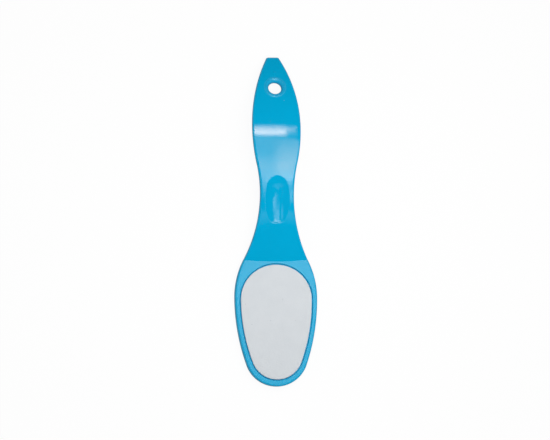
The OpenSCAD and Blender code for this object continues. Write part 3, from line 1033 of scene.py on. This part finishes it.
def soft_box_glow(tree, x, y):
    """The soft box and what lies close to it, as a sum: a hot middle, and beyond the faded end a
    glow on its left, a weaker one in its middle and a last bright patch on its right."""
    hot_middle = joined(
        tree, "MULTIPLY",
        window(tree, x, (0.05, 0.1), (0.115, 0.145), 0.8),
        window(tree, y, (-0.01, 0.012), (0.03, 0.055)),
    )
    left_end = joined(
        tree, "MULTIPLY",
        window(tree, x, (-0.016, -0.005), (0.018, 0.03), 2.6),
        window(tree, y, (-0.125, -0.04), (-0.045, -0.03)),
    )
    near_share = ramp(tree, y, (-0.092, -0.074))
    near_end = ramp(tree, y, (-0.032, -0.012), (1, 0))
    weak_middle = joined(
        tree, "MULTIPLY", window(tree, x, (0.008, 0.034), (0.075, 0.15), 1.9), near_share, near_end
    )
    patch_x = (follow(tree, near_share, (0.22, 0.12)), follow(tree, near_share, (0.255, 0.24)))
    slant_x = (0.15, 0.24)
    patch_y = (ramp(tree, x, slant_x, (-0.129, -0.122)), ramp(tree, x, slant_x, (-0.12, -0.111)))
    right_patch = joined(
        tree, "MULTIPLY",
        window(tree, x, (0.02, 0.185), patch_x, 2.35),
        ramp(tree, y, patch_y),
        follow(tree, near_share, (1, 0.7)),
        near_end,
    )
    return joined(tree, "ADD", box_area(tree, x, y), hot_middle, left_end, weak_middle, right_patch)


def soft_box_tint(tree, x, y):
    """The soft box's colour: white at the faded end, and warmer towards its right and middle."""
    warmth = joined(
        tree, "MULTIPLY", ramp(tree, y, (-0.05, 0.02)), ramp(tree, x, (0.02, 0.11), (0.65, 1))
    )
    tint = add(tree.nodes, "ShaderNodeMix", data_type="RGBA")
    tint.inputs["A"].default_value = (1, 0.98, 0.94, 1)
    tint.inputs["B"].default_value = (1, 0.7, 0.42, 1)
    tree.links.new(warmth, tint.inputs["Factor"])
    return tint.outputs["Result"]


def warm_strip_glow(tree, x, y):
    """The warm strip: full as far as the soft box's right part, where it drops to a third and is
    narrower, with soft long edges."""
    to_right = ramp(tree, x, (0.098, 0.118))
    low_edge = (follow(tree, to_right, (0.171, 0.178)), follow(tree, to_right, (0.203, 0.228)))
    high_edge = (follow(tree, to_right, (0.202, 0.228)), follow(tree, to_right, (0.27, 0.262)))
    return joined(
        tree, "MULTIPLY",
        follow(tree, to_right, (15.5, 4.7)),
        ramp(tree, y, low_edge, (0.12, 1)),
        ramp(tree, y, high_edge, (1, 0)),
        ramp(tree, x, (0.137, 0.1435), (1, 0)),
    )


def side_strip_glow(tree, x, y):
    """A thin weaker strip left of the soft box, fading out at its lower end."""
    return joined(
        tree, "MULTIPLY", ramp(tree, y, (-0.1, -0.075), (0, 0.9)), ramp(tree, x, (-0.155, -0.12))
    )


def last_glow(tree, x, y):
    """A weak glow beyond the soft box's lower end, which reaches closest to it at its middle."""
    middle_share = window(tree, x, (0.015, 0.05), (0.1, 0.14))
    near_edge = (
        follow(tree, middle_share, (-0.175, -0.15)),
        follow(tree, middle_share, (-0.162, -0.136)),
    )
    return joined(
        tree, "MULTIPLY",
        window(tree, y, (-0.245, -0.18), near_edge, 0.58),
        ramp(tree, x, (-0.17, 0), (0.25, 1)),
        ramp(tree, x, (0.15, 0.26), (1, 0.3)),
    )


reflected_light("soft_box_glow", (-0.07, 0.285), (-0.152, 0.174), soft_box_glow, soft_box_tint)
reflected_light("warm_strip", (-0.15, 0.144), (0.1741, 0.271), warm_strip_glow, (1.0, 0.70, 0.52))
reflected_light("side_strip", (-0.155, -0.07), (-0.101, -0.046), side_strip_glow)
reflected_light("last_glow", (-0.17, 0.28), (-0.25, -0.153), last_glow)

# Camera: it looks down at the file from a little to its left and from the head's side. A long
# lens from 3 m keeps the outline nearly free of perspective.
view_from_left = radians(8.0)
view_from_head = radians(4.0)
view_roll = radians(0.16)
view_distance = 3.0
picture_w = 550
pixels_per_m = 1317
subject = Vector((0, 0, 0.009))
subject_pixel = (275.6, 221.1)
picture_centre = (275, 220)
backwards = Vector((
    -sin(view_from_left) * cos(view_from_head),
    -sin(view_from_head),
    cos(view_from_left) * cos(view_from_head),
))
level_right = (Vector((1, 0, 0)) - backwards.x * backwards).normalized()
level_up = backwards.cross(level_right)
camera_right = cos(view_roll) * level_right - sin(view_roll) * level_up
camera_up = backwards.cross(camera_right)
aim = subject + (
    (picture_centre[0] - subject_pixel[0]) * camera_right
    + (subject_pixel[1] - picture_centre[1]) * camera_up
) / pixels_per_m
camera_data = bpy.data.cameras.new("camera")
camera_data.sensor_width = 36
camera_data.lens = 36 * pixels_per_m * view_distance / picture_w
camera_data.clip_end = 20
camera = bpy.data.objects.new("camera", camera_data)
camera.rotation_euler = Matrix((camera_right, camera_up, backwards)).transposed().to_euler()
camera.location = aim + view_distance * backwards
bpy.context.scene.collection.objects.link(camera)
bpy.context.scene.camera = camera
bpy.context.scene.view_settings.view_transform = "Standard"
